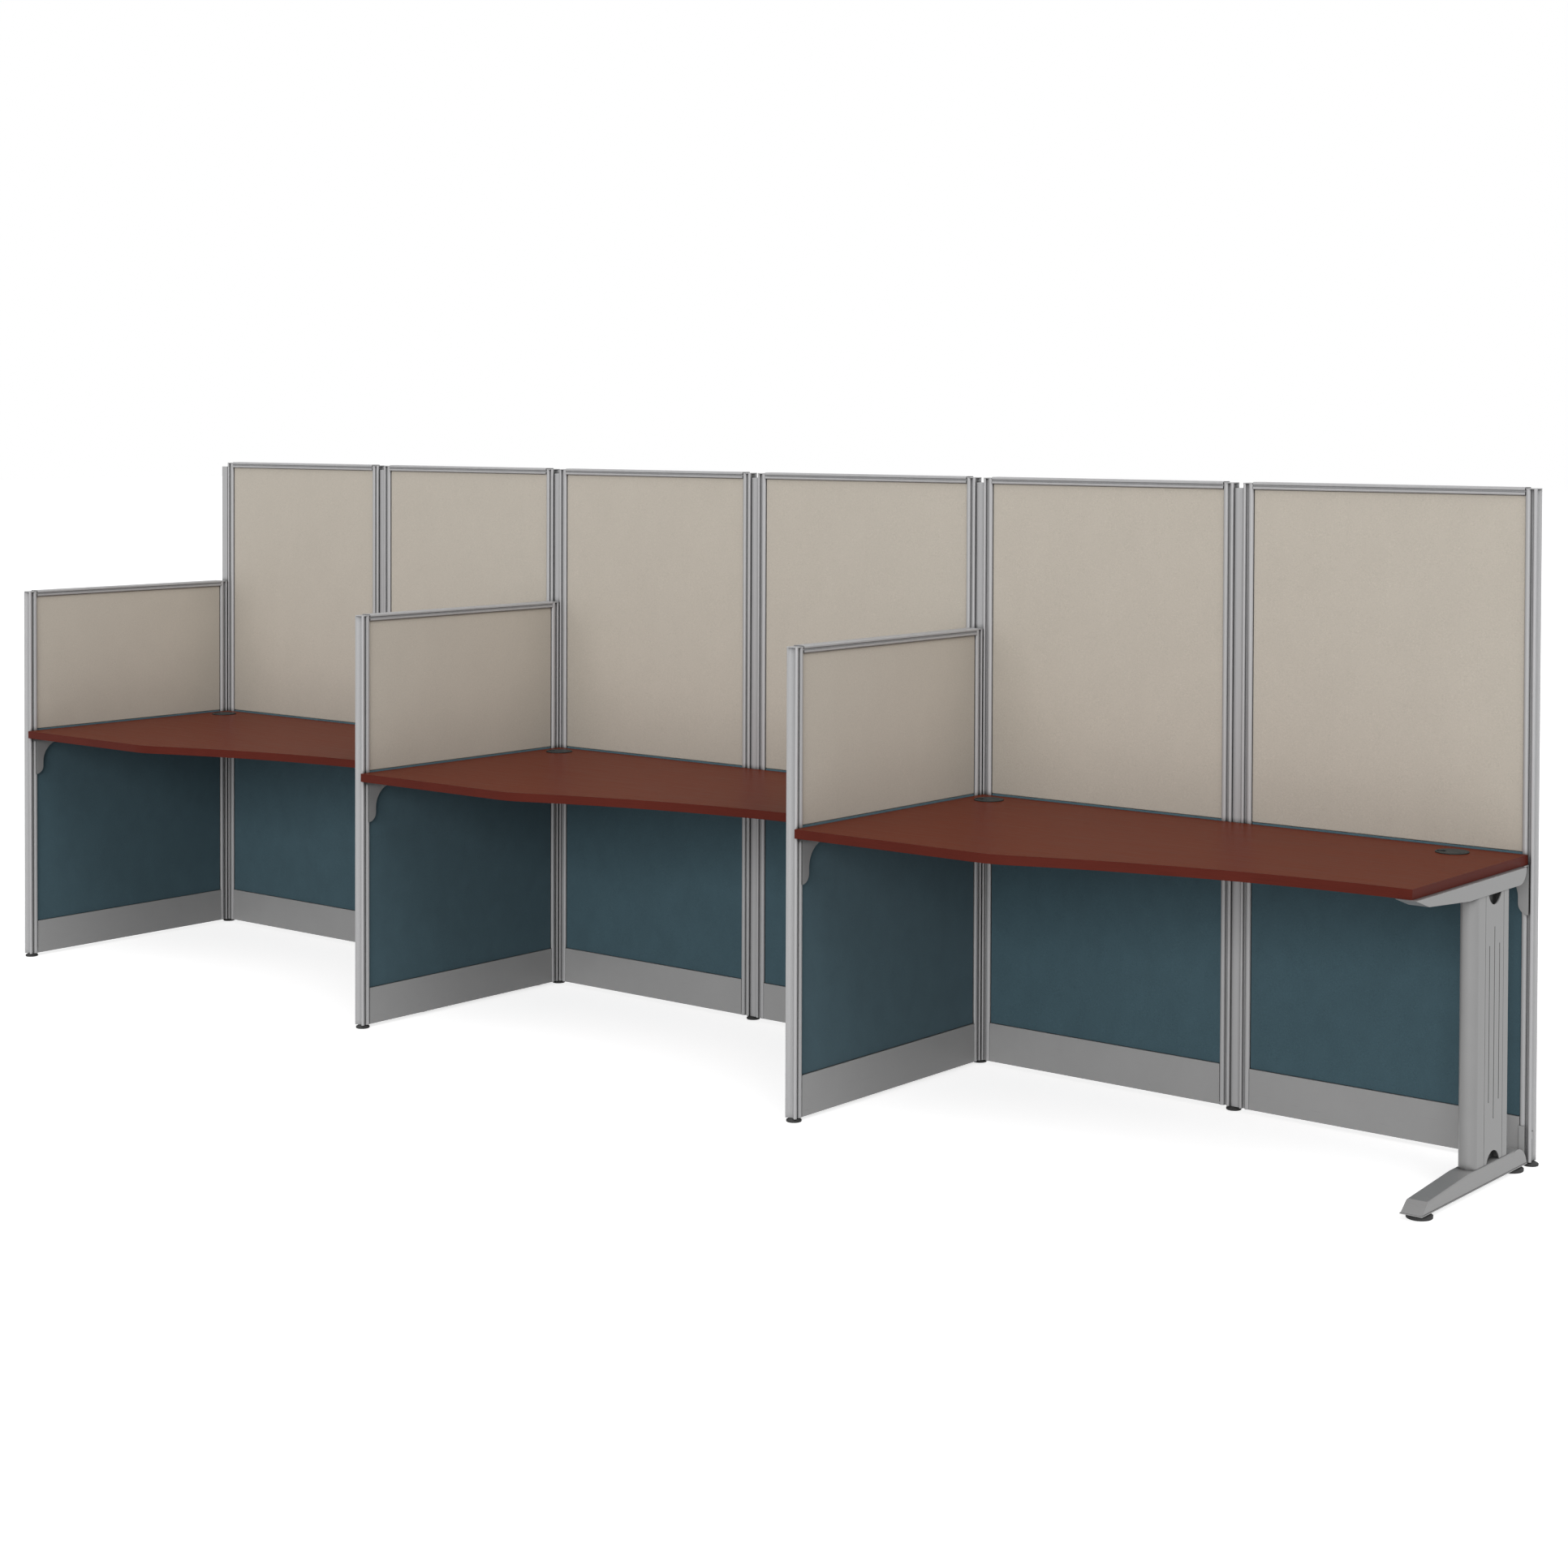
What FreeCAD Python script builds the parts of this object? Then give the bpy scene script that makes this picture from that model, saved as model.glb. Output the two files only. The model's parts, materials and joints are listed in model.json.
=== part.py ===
import FreeCAD, Part
import math
import os
from FreeCAD import Vector

os.makedirs("parts", exist_ok=True)

# Overall arrangement, all lengths in millimetres
stations = 3
station_pitch = 1603.0
wall_height = 1600.0
side_height = 1190.0
panel_thickness = 35.0
side_depth = 800.0
panel_gap = 28.0
floor_gap = 10.0
joint_clearance = 0.5
fit_clearance = 0.2

# Frame profiles
stile_width = 29.0
lobe_rise = 4.2
groove_inset = 12.0
groove_half_width = 3.2
groove_drop = 3.0
groove_radius = 3.0
channel_half_width = 12.0
channel_depth = 7.0
stile_wall = 2.8
stile_plug_length = 70.0
channel_plug_recess = 4.0
cap_thickness = 2.0
cap_corner_radius = 4.0
cap_drop = 2.5
top_rail_height = 19.0
top_rail_radius = 3.5
rail_wall = 3.0
cross_rail_thickness = 5.0
cross_rail_height = 30.0
base_web_height = 40.0
base_flange_thickness = 3.0

# Screen tiles
tile_recess = 7.0
tile_corner_radius = 3.0
tile_edge_radius = 2.5
screen_split_rise = 4.0
tile_joint = 1.0

# Base kick plates
kick_height = 114.0
kick_recess = 2.4
kick_sheet = 1.5
kick_return = 5.0
ear_height = 94.0
ear_sheet = 1.3

# Posts between the panels
post_depth = 17.0
post_bite = 3.9
post_drop = 16.0
post_rise = 2.5
post_top_radius = 3.0
corner_post_radius = 6.0
end_panel_extra = 9.0
end_pad_inset = 8.0

# Desktops
desk_height = 736.0
desk_thickness = 23.0
desk_overhang = 8.0
desk_right_depth = 602.0
desk_sweep_radius = 2650.0
desk_sweep_crest = 55.0
desk_bend_radius = 200.0
edge_band_thickness = 2.0

# Cable grommets
grommet_left_inset = 75.5
grommet_right_inset = 155.0
grommet_rear_inset = 78.0
grommet_flange_radius = 40.0
grommet_flange_height = 2.5
grommet_hole_radius = 31.0
grommet_bore_radius = 28.0
running_clearance = 0.06
grommet_lid_radius = 35.5
grommet_lid_thickness = 1.6
grommet_seat_clearance = 0.3
grommet_skirt_wall = 2.0
grommet_skirt_depth = 12.0
notch_width = 18.0
notch_inner_radius = 14.0
notch_turn_angle = 25.0

# Desk brackets
gusset_sheet = 3.0
gusset_nose_radius = 26.0
gusset_straight = 14.0
gusset_flare_radius = 63.0
gusset_end_height = 16.0
gusset_flange_width = 26.0
side_gusset_setback = 9.3
wall_gusset_overlap = 2.4
gusset_tab_half_width = 1.8
gusset_tab_depth = 6.4
side_hook_height = 10.0
wall_hook_height = 60.0
straight_share = 0.9

# C-shaped desk legs
leg_width = 51.0
leg_end_reach = 4.0
leg_side_clearance = 1.0
foot_front = 573.0
foot_rear = 22.6
foot_underside = 14.0
foot_lip_height = 5.0
foot_lip_reach = 1.2
foot_nose_height = 41.0
foot_nose_run = 33.0
foot_top = 57.0
foot_flat_front = 330.0
foot_flat_rear = 84.0
foot_edge_radius = 4.0
column_width = 44.0
column_front = 308.0
column_rear = 122.0
column_wall = 5.0
cover_front = 250.0
cover_rear = 155.0
column_rear_radius = 8.0
cover_thickness = 3.0
cover_ledge = 6.0
cover_joint = 1.2
cable_channel_depth = 18.0
cover_groove_pitch = 26.5
cover_groove_radius = 1.8
cover_groove_low = 156.0
cover_groove_drop = 77.0
cover_groove_step = 41.0
cable_notch_radius = 35.0
cable_notch_rise = 26.0
arm_depth = 38.0
arm_tip_front = 612.0
arm_tip_back = 545.0
arm_tip_height = 22.0
arm_taper_end = 342.0
arm_rear = 37.0
arm_rear_radius = 37.0
arm_edge_radius = 1.5

# Levelling feet
pad_radius = 19.5
leg_pad_radius = 30.0
pad_rim_share = 0.5
pad_crown_share = 0.62
pad_edge_share = 0.33
pad_play = 0.5
stem_radius = 4.0
stem_clearance = 0.05
stem_reach = 48.0
stem_bore_reach = 52.0
leg_stem_reach = 18.0
leg_stem_bore_reach = 21.0
side_pad_inset = 16.0
inline_pad_shift = 9.0
leg_pad_front = 531.0
leg_pad_rear = 55.0

# Screws under the desks
screw_radius = 2.4
screw_clearance = 0.05
screw_head_radius = 4.8
screw_head_height = 2.6
screw_bite = 14.0
screw_first = 22.0
screw_spacing = 52.0

# Sizes worked out from the ones above
half_pitch = station_pitch / 2
half_gap = panel_gap / 2
half_thickness = panel_thickness / 2
run_length = stations * station_pitch
desk_left = half_thickness + joint_clearance
desk_right = station_pitch - half_thickness - joint_clearance
desk_front = side_depth + desk_overhang
desk_underside = desk_height - desk_thickness
screen_split_height = desk_height + screen_split_rise
arm_underside = desk_underside - arm_depth
cover_groove_high = arm_underside - cover_groove_drop
run_left = -half_thickness
run_right = run_length - half_gap + end_panel_extra
end_pad_x = run_right - end_pad_inset
frame_middle_x = (min(run_left, -pad_radius) + max(run_right, end_pad_x + pad_radius)) / 2
frame_middle_y = (half_thickness + max(half_thickness, pad_radius) - desk_front) / 2


def slab(x0, x1, y0, y1, z0, z1):
    return Part.makeBox(x1 - x0, y1 - y0, z1 - z0, Vector(x0, y0, z0))


def shifted(shape, x, y, z):
    copy = shape.copy()
    copy.translate(Vector(x, y, z))
    return copy


def turned(shape, degrees):
    copy = shape.copy()
    copy.rotate(Vector(0, 0, 0), Vector(0, 0, 1), degrees)
    return copy


def edges_along(shape, direction):
    return [edge for edge in shape.Edges if abs(edge.tangentAt(0).dot(direction)) > straight_share]


def line(a, b):
    return Part.makeLine(Vector(*a), Vector(*b))


def arc(a, middle, b):
    return Part.Arc(Vector(*a), Vector(*middle), Vector(*b)).toShape()


def round_point(cx, cy, radius, degrees):
    angle = math.radians(degrees)
    return (cx + radius * math.cos(angle), cy + radius * math.sin(angle), 0)


def solid_from(edges, direction):
    wire = Part.Wire(edges)
    return Part.Face(wire).extrude(direction)


def grouped(shapes):
    return Part.makeCompound([piece for shape in shapes for piece in shape.Solids])


def export(shape, name):
    placed = shape.copy()
    placed.translate(Vector(-frame_middle_x, -frame_middle_y, 0))
    placed.exportStep("parts/" + name + ".step")


def in_side_plane(points):
    """Points given as reach towards the sitter and height, in the upright plane across the wall."""
    return [(0, -reach, height) for reach, height in points]


# Upright of a panel frame with two round lobes and a groove on each face: x inwards from its outer edge,
# its thickness centred on y
def stile(height):
    h = half_thickness
    foot = h - lobe_rise
    g0 = groove_inset - groove_half_width
    g1 = groove_inset + groove_half_width
    edges = [arc((0, -channel_half_width, 0), (channel_depth, 0, 0), (0, channel_half_width, 0)),
             line((stile_width, foot, 0), (stile_width, -foot, 0))]
    for side in (1, -1):
        edges += [
            line((0, side * channel_half_width, 0), (0, side * foot, 0)),
            arc((0, side * foot, 0), (g0 / 2, side * h, 0), (g0, side * foot, 0)),
            arc((g0, side * foot, 0), (groove_inset, side * (foot - groove_drop), 0), (g1, side * foot, 0)),
            arc((g1, side * foot, 0), ((g1 + stile_width) / 2, side * h, 0), (stile_width, side * foot, 0)),
        ]
    body = Part.Face(Part.Wire(Part.__sortEdges__(edges))).extrude(Vector(0, 0, height))
    core_half = foot - groove_drop - stile_wall
    core = slab(channel_depth + stile_wall, stile_width - stile_wall, -core_half, core_half,
                stile_plug_length, height)
    return body.cut(core)


# Top rail of a panel frame, running along x, thickness centred on y, its top at height zero
def top_rail(length):
    h = half_thickness
    r = top_rail_radius
    middle = -top_rail_height / 2
    edges = [line((0, r - h, 0), (0, h - r, 0)),
             line((0, r - h, -top_rail_height), (0, h - r, -top_rail_height))]
    for side in (1, -1):
        upper = round_point(h - r, -r, r, 45)
        lower = round_point(h - r, r - top_rail_height, r, -45)
        edges += [
            arc((0, side * (h - r), 0), (0, side * upper[0], upper[1]), (0, side * h, -r)),
            line((0, side * h, -r), (0, side * h, middle + groove_radius)),
            arc((0, side * h, middle + groove_radius), (0, side * (h - groove_radius), middle),
                (0, side * h, middle - groove_radius)),
            line((0, side * h, middle - groove_radius), (0, side * h, r - top_rail_height)),
            arc((0, side * h, r - top_rail_height), (0, side * lower[0], lower[1]),
                (0, side * (h - r), -top_rail_height)),
        ]
    body = Part.Face(Part.Wire(Part.__sortEdges__(edges))).extrude(Vector(length, 0, 0))
    core_half = h - groove_radius - rail_wall
    core = slab(0, length, -core_half, core_half, rail_wall - top_rail_height, -rail_wall)
    return body.cut(core)


# One panel frame along x from zero to its length, thickness centred on y
def panel_frame(length, height):
    stile_top = height - cap_drop - cap_thickness
    upright = stile(stile_top - floor_gap)
    left = shifted(upright, 0, 0, floor_gap)
    right = shifted(turned(upright, 180), length, 0, floor_gap)
    inner = length - 2 * stile_width
    rail = shifted(top_rail(inner), stile_width, 0, height)
    half_rail = cross_rail_thickness / 2
    middle = slab(stile_width, length - stile_width, -half_rail, half_rail,
                  screen_split_height - cross_rail_height / 2, screen_split_height + cross_rail_height / 2)
    web_top = kick_height + base_web_height / 2
    web_foot = kick_height - base_web_height / 2
    flange_half = half_thickness - kick_recess - kick_sheet
    web = slab(stile_width, length - stile_width, -half_rail, half_rail, web_foot, web_top)
    flange = slab(stile_width, length - stile_width, -flange_half, flange_half,
                  web_foot - base_flange_thickness, web_foot)
    return [left, right, rail, middle, web.fuse(flange).removeSplitter()]


# Cap plates on the two uprights of one panel
def panel_caps(length, height):
    plate = slab(0, stile_width, -half_thickness, half_thickness, 0, cap_thickness)
    plate = plate.makeFillet(cap_corner_radius, edges_along(plate, Vector(0, 0, 1)))
    top = height - cap_drop - cap_thickness
    return [shifted(plate, 0, 0, top), shifted(plate, length - stile_width, 0, top)]


# One fabric-covered tile in the plane of the panel, its fabric face towards minus y
def tile(width, height):
    thickness = (panel_thickness - cross_rail_thickness) / 2 - tile_recess
    block = slab(0, width, 0, thickness, 0, height)
    block = block.makeFillet(tile_corner_radius, edges_along(block, Vector(0, 1, 0)))
    front = [face for face in block.Faces
             if abs(face.normalAt(0, 0).y) > straight_share and face.BoundBox.YMax < thickness / 2]
    return block.makeFillet(tile_edge_radius, front[0].Edges)


# The front and back tiles of one panel between two heights
def tile_pair(length, low, high):
    width = length - 2 * stile_width - 2 * fit_clearance
    block = tile(width, high - low)
    start = stile_width + fit_clearance
    face = half_thickness - tile_recess
    front = shifted(block, start, -face, low)
    back = shifted(turned(block, 180), start + width, face, low)
    return [front, back]


# The front and back kick plates of one panel
def kick_pair(length):
    start = stile_width + fit_clearance
    end = length - stile_width - fit_clearance
    outer = half_thickness - kick_recess
    inner = outer - kick_sheet
    plates = []
    for side in (1, -1):
        sheet = slab(start, end, inner, outer, floor_gap, kick_height)
        top = slab(start, end, inner - kick_return, inner, kick_height - kick_sheet, kick_height)
        foot = slab(start, end, inner - kick_return, inner, floor_gap, floor_gap + kick_sheet)
        plate = sheet.fuse([top, foot]).removeSplitter()
        plates.append(plate if side > 0 else shifted(turned(plate, 180), length, 0, 0))
    return plates


# Places the pieces of a panel that were made along x
def in_wall(pieces, index):
    start = index * half_pitch + half_gap
    return [shifted(piece, start, half_thickness, 0) for piece in pieces]


def beside_desk(pieces, index):
    return [shifted(turned(piece, 90), index * station_pitch, -side_depth, 0) for piece in pieces]


wall_length = half_pitch - panel_gap
side_length = side_depth - joint_clearance
upper_low = screen_split_height + tile_joint / 2
lower_high = screen_split_height - tile_joint / 2
lower_low = kick_height + fit_clearance
wall_upper_high = wall_height - top_rail_height - fit_clearance
side_upper_high = side_height - top_rail_height - fit_clearance

side_frame = panel_frame(side_length, side_height)


# A bore for a levelling foot's stem in the plugged foot of an upright
def with_pad_bore(pieces, x, y):
    hole = Part.makeCylinder(stem_radius + stem_clearance, stem_bore_reach, Vector(x, y, floor_gap))
    return [piece.cut(hole) for piece in pieces]


def closed_foot(upright):
    """The last upright, its channel made shallow at the foot, beside the bore for the levelling foot."""
    block = slab(run_right - channel_depth, run_right - channel_plug_recess,
                 half_thickness - channel_half_width, half_thickness + channel_half_width,
                 floor_gap, floor_gap + stile_plug_length)
    return upright.fuse(block).removeSplitter()


def wall_panel_length(panel):
    """Every wall panel has the same length but the last, which reaches out to the open end."""
    return wall_length + end_panel_extra if panel == wall_count - 1 else wall_length


wall_count = 2 * stations
wall_lower = []
wall_kicks = []
caps = []
for panel in range(wall_count):
    length = wall_panel_length(panel)
    pieces = in_wall(panel_frame(length, wall_height), panel)
    if panel == wall_count - 1:
        pieces[1] = closed_foot(pieces[1])
        pieces = with_pad_bore(pieces, end_pad_x, half_thickness)
    export(grouped(pieces), "wall_frame_%d" % (panel + 1))
    upper = in_wall(tile_pair(length, upper_low, wall_upper_high), panel)
    export(grouped(upper), "wall_upper_screen_%d" % (panel + 1))
    wall_lower += in_wall(tile_pair(length, lower_low, lower_high), panel)
    wall_kicks += in_wall(kick_pair(length), panel)
    caps += in_wall(panel_caps(length, wall_height), panel)

side_upper = []
side_lower = []
side_kicks = []
for panel in range(stations):
    pieces = beside_desk(side_frame, panel)
    pieces = with_pad_bore(pieces, panel * station_pitch, side_pad_inset - side_depth)
    export(grouped(pieces), "side_frame_%d" % (panel + 1))
    side_upper += beside_desk(tile_pair(side_length, upper_low, side_upper_high), panel)
    side_lower += beside_desk(tile_pair(side_length, lower_low, lower_high), panel)
    side_kicks += beside_desk(kick_pair(side_length), panel)
    caps += beside_desk(panel_caps(side_length, side_height), panel)

ear = slab(run_right - stile_width, run_right - groove_inset - groove_half_width,
           -ear_sheet - fit_clearance, -fit_clearance, floor_gap, ear_height)
export(grouped(wall_lower), "wall_lower_screens")
export(grouped(side_upper), "side_upper_screens")
export(grouped(side_lower), "side_lower_screens")
export(grouped(side_kicks), "side_kick_plates")
export(grouped(wall_kicks + [ear]), "wall_kick_plates")
export(grouped(caps), "upright_caps")


# Post between two panels: its edges sit in the channels of the uprights beside it, its faces bulge a little
def post(x_low, x_high, height):
    half = post_depth / 2
    middle = (x_low + x_high) / 2
    edges = [line((x_low, -half, 0), (x_low, half, 0)), line((x_high, -half, 0), (x_high, half, 0))]
    for side in (1, -1):
        edges.append(arc((x_low, side * half, 0), (middle, side * (half + post_rise), 0),
                         (x_high, side * half, 0)))
    face = Part.Face(Part.Wire(Part.__sortEdges__(edges)))
    body = face.extrude(Vector(0, 0, height - floor_gap))
    rim = [edge for edge in body.Edges
           if edge.BoundBox.ZMin > post_top_radius and edge.BoundBox.XLength > edge.BoundBox.YLength]
    return shifted(body.makeFillet(post_top_radius, rim), 0, half_thickness, floor_gap)


# Arm of a post that reaches into the rear upright of a side panel
def post_arm():
    half = post_depth / 2
    reach = joint_clearance + post_bite
    return slab(-half, half, -reach, half_thickness - half + fit_clearance,
                floor_gap, side_height - post_drop)


def pad_bore(x, reach):
    return Part.makeCylinder(stem_radius + stem_clearance, reach, Vector(x, half_thickness, floor_gap))


post_edge = half_gap + post_bite
post_top = wall_height - post_drop
inline_post = post(-post_edge, post_edge, post_top).cut(pad_bore(-inline_pad_shift, stem_bore_reach))
tee_post = post(-post_edge, post_edge, post_top).fuse(post_arm()).removeSplitter()
tee_post = tee_post.cut(pad_bore(0, stem_bore_reach))
inline_places = [(2 * n + 1) * half_pitch for n in range(stations)]
tee_places = [n * station_pitch for n in range(1, stations)]
export(grouped([shifted(inline_post, x, 0, 0) for x in inline_places]), "inline_posts")
export(grouped([shifted(tee_post, x, 0, 0) for x in tee_places]), "tee_posts")


# Square post at the closed end of the run
def corner_post():
    face = half_gap - fit_clearance
    block = slab(run_left, face, joint_clearance, panel_thickness, floor_gap, post_top)
    outer = [edge for edge in edges_along(block, Vector(0, 0, 1)) if edge.CenterOfMass.x < 0]
    block = block.makeFillet(corner_post_radius, outer)
    for x, y in ((run_left, half_thickness), (-fit_clearance, panel_thickness)):
        block = block.cut(Part.makeCylinder(groove_radius, post_top, Vector(x, y, 0)))
    half = post_depth / 2
    tongue = slab(face - fit_clearance, post_edge, half_thickness - half, half_thickness + half,
                  floor_gap, post_top)
    body = block.fuse([tongue, post_arm()]).removeSplitter()
    return body.cut(pad_bore(0, stem_bore_reach))


export(corner_post(), "corner_post")


# Plan outline of a desktop: straight front at the left, then one sweeping inward curve to the right
def desk_outline(x_left):
    x_right = x_left - desk_left + desk_right
    origin_x = x_left - desk_left
    crest_x = origin_x + station_pitch - half_thickness + desk_sweep_crest
    sweep_y = -desk_right_depth - desk_sweep_radius
    bend_y = desk_bend_radius - desk_front
    reach = desk_sweep_radius + desk_bend_radius
    bend_x = crest_x - math.sqrt(reach ** 2 - (bend_y - sweep_y) ** 2)
    share = desk_sweep_radius / reach
    meet = (crest_x + (bend_x - crest_x) * share, sweep_y + (bend_y - sweep_y) * share, 0)
    meet_angle = math.degrees(math.atan2(meet[1] - sweep_y, meet[0] - crest_x))
    end_angle = math.degrees(math.acos((x_right - crest_x) / desk_sweep_radius))
    end = round_point(crest_x, sweep_y, desk_sweep_radius, end_angle)
    middle = round_point(crest_x, sweep_y, desk_sweep_radius, (meet_angle + end_angle) / 2)
    bend_angle = math.degrees(math.atan2(meet[1] - bend_y, meet[0] - bend_x))
    bend_middle = round_point(bend_x, bend_y, desk_bend_radius, (bend_angle - 90) / 2)
    rear = -joint_clearance
    return [
        line((x_left, rear, 0), (x_left, -desk_front, 0)),
        line((x_left, -desk_front, 0), (bend_x, -desk_front, 0)),
        arc((bend_x, -desk_front, 0), bend_middle, meet),
        arc(meet, middle, end),
        line(end, (x_right, rear, 0)),
        line((x_right, rear, 0), (x_left, rear, 0)),
    ]


def left_groove(station):
    return station * station_pitch + half_gap + groove_inset


def right_groove(station):
    if station == stations - 1:
        return run_right - groove_inset
    return (station + 1) * station_pitch - half_gap - groove_inset


def screw_places(station):
    """Centres of the screws under one desk, and the underside each one is driven against."""
    origin = station * station_pitch
    places = []
    for step in (0, 1):
        reach = screw_first + step * screw_spacing
        out = fit_clearance + gusset_sheet + gusset_flange_width / 2
        front = side_depth - groove_inset - side_gusset_setback
        places.append((origin + half_thickness + out, -front + reach, desk_underside - gusset_sheet))
        left_x = left_groove(station) - wall_gusset_overlap + reach
        places.append((left_x, -out, desk_underside - gusset_sheet))
    right_x = right_groove(station) + wall_gusset_overlap - screw_first - screw_spacing
    places.append((right_x, -out, desk_underside - gusset_sheet))
    leg_x = leg_centre(station)
    for reach in (arm_tip_back, arm_taper_end, column_rear - screw_first):
        places.append((leg_x, -reach + screw_first, None))
    return places


def leg_centre(station):
    right = (station + 1) * station_pitch
    if station == stations - 1:
        return right - leg_end_reach - leg_width / 2
    return right - half_thickness - leg_side_clearance - leg_width / 2


def arm_underside_at(reach):
    """Height of the arm's underside at a distance from the wall."""
    if reach <= arm_taper_end:
        return arm_underside
    share = (reach - arm_taper_end) / (arm_tip_back - arm_taper_end)
    return arm_underside + share * (desk_underside - arm_tip_height - arm_underside)


# Pan-head screws, the head under the bracket or arm and the shank in the desktop
def screws(station, clearance):
    pieces = []
    for x, y, face in screw_places(station):
        head_top = face if face else arm_underside_at(-y) + screw_head_height
        shank = Part.makeCylinder(screw_radius + clearance, desk_underside + screw_bite - head_top,
                                  Vector(x, y, head_top))
        head = Part.makeCylinder(screw_head_radius + clearance, screw_head_height + clearance,
                                 Vector(x, y, head_top - screw_head_height - clearance))
        pieces.append(shank.fuse(head).removeSplitter())
    return pieces


def grommet_places(station):
    origin = station * station_pitch
    y = -grommet_rear_inset
    return [(origin + desk_left + grommet_left_inset, y), (origin + desk_right - grommet_right_inset, y)]


def desk_board(station):
    x_left = station * station_pitch + desk_left
    face = Part.Face(Part.Wire(desk_outline(x_left)))
    outer = shifted(face, 0, 0, desk_underside).extrude(Vector(0, 0, desk_thickness))
    inner_face = face.makeOffset2D(-edge_band_thickness)
    board = shifted(inner_face, 0, 0, desk_underside).extrude(Vector(0, 0, desk_thickness))
    band = outer.cut(board)
    for x, y in grommet_places(station):
        foot = Vector(x, y, desk_underside)
        board = board.cut(Part.makeCylinder(grommet_hole_radius, desk_thickness, foot))
    for driven in screws(station, screw_clearance):
        board = board.cut(driven)
    return board, band


bands = []
for station in range(stations):
    board, band = desk_board(station)
    export(board, "desktop_%d" % (station + 1))
    bands.append(band)
export(grouped(bands), "desk_edge_bands")


# Grommet liner: a flat flange on the desk, a seat for the lid and a sleeve through the board
def grommet_liner(x, y):
    top = desk_height + grommet_flange_height
    flange = Part.makeCylinder(grommet_flange_radius, grommet_flange_height, Vector(x, y, desk_height))
    rim = [edge for edge in flange.Edges if edge.BoundBox.ZMin > top - fit_clearance]
    flange = flange.makeFillet(grommet_flange_height / 2, rim)
    foot = Vector(x, y, desk_underside)
    sleeve = Part.makeCylinder(grommet_hole_radius - fit_clearance, desk_thickness, foot)
    bore = Part.makeCylinder(grommet_bore_radius, desk_thickness + grommet_flange_height, foot)
    seat = Part.makeCylinder(grommet_lid_radius + grommet_seat_clearance, grommet_lid_thickness,
                             Vector(x, y, top - grommet_lid_thickness))
    return flange.fuse(sleeve).cut(bore).cut(seat).removeSplitter()


# Turning lid with a skirt in the liner's bore, open at one side for cables
def grommet_lid(x, y):
    top = desk_height + grommet_flange_height
    play = running_clearance
    seat = top - grommet_lid_thickness
    lid = Part.makeCylinder(grommet_lid_radius, grommet_lid_thickness - play, Vector(x, y, seat + play))
    low = seat - grommet_skirt_depth
    skirt_foot = Vector(x, y, low + play)
    skirt_radius = grommet_bore_radius - play
    outer = Part.makeCylinder(skirt_radius, grommet_skirt_depth, skirt_foot)
    inner = Part.makeCylinder(skirt_radius - grommet_skirt_wall, grommet_skirt_depth, skirt_foot)
    half = notch_width / 2
    slot = slab(-grommet_flange_radius, -notch_inner_radius - half, -half, half, low, top)
    end = Part.makeCylinder(half, top - low, Vector(-notch_inner_radius - half, 0, low))
    notch = shifted(turned(slot.fuse(end), notch_turn_angle), x, y, 0)
    return lid.fuse(outer.cut(inner)).cut(notch).removeSplitter()


liners = []
number = 0
for station in range(stations):
    for x, y in grommet_places(station):
        number += 1
        liners.append(grommet_liner(x, y))
        export(grommet_lid(x, y), "grommet_lid_%d" % number)
export(grouped(liners), "grommet_liners")


# Desk bracket along a panel: a plate with a rounded nose that flares up to a flange under the desk.
# The plate stands at x, it runs along y from its start, and its hook goes into a groove at y zero
def gusset(start, hook_height):
    nose_z = desk_underside - gusset_end_height - gusset_flare_radius - gusset_straight
    foot = nose_z - gusset_nose_radius
    rise_z = nose_z + gusset_straight
    near = start + gusset_nose_radius
    far = near + gusset_flare_radius
    turn = math.sqrt(0.5)
    nose = (start + gusset_nose_radius * turn, nose_z - gusset_nose_radius * turn)
    flare = (far - gusset_flare_radius * turn, rise_z + gusset_flare_radius * turn)
    outline = [(start, desk_underside), (start, foot), nose, (near, nose_z), (near, rise_z), flare,
               (far, rise_z + gusset_flare_radius), (far, desk_underside)]
    top, corner, nose_mid, low, high, flare_mid, tip, tip_top = [(0, along, z) for along, z in outline]
    edges = [line(top, corner), arc(corner, nose_mid, low), line(low, high), arc(high, flare_mid, tip),
             line(tip, tip_top), line(tip_top, top)]
    plate = solid_from(edges, Vector(gusset_sheet, 0, 0))
    flange = slab(gusset_sheet, gusset_sheet + gusset_flange_width, start, far,
                  desk_underside - gusset_sheet, desk_underside)
    hook_foot = desk_underside - hook_height
    hook = slab(-gusset_tab_depth, gusset_sheet, -gusset_tab_half_width, gusset_tab_half_width,
                hook_foot, desk_underside)
    bridge = slab(0, gusset_sheet, -gusset_tab_half_width, near, hook_foot, desk_underside)
    return plate.fuse([flange, hook, bridge]).removeSplitter()


# Bracket along a side panel, its hook reaching over the inner lobe of the front upright
def side_gusset(station):
    face_x = station * station_pitch + half_thickness + fit_clearance
    return shifted(gusset(side_gusset_setback, side_hook_height), face_x, groove_inset - side_depth, 0)


# Bracket along the wall, covering the groove it is hooked into
def wall_gusset(x, side):
    body = turned(gusset(-wall_gusset_overlap, wall_hook_height), -90)
    if side < 0:
        body = body.mirror(Vector(0, 0, 0), Vector(1, 0, 0))
    return shifted(body, x, -fit_clearance, 0)


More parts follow.
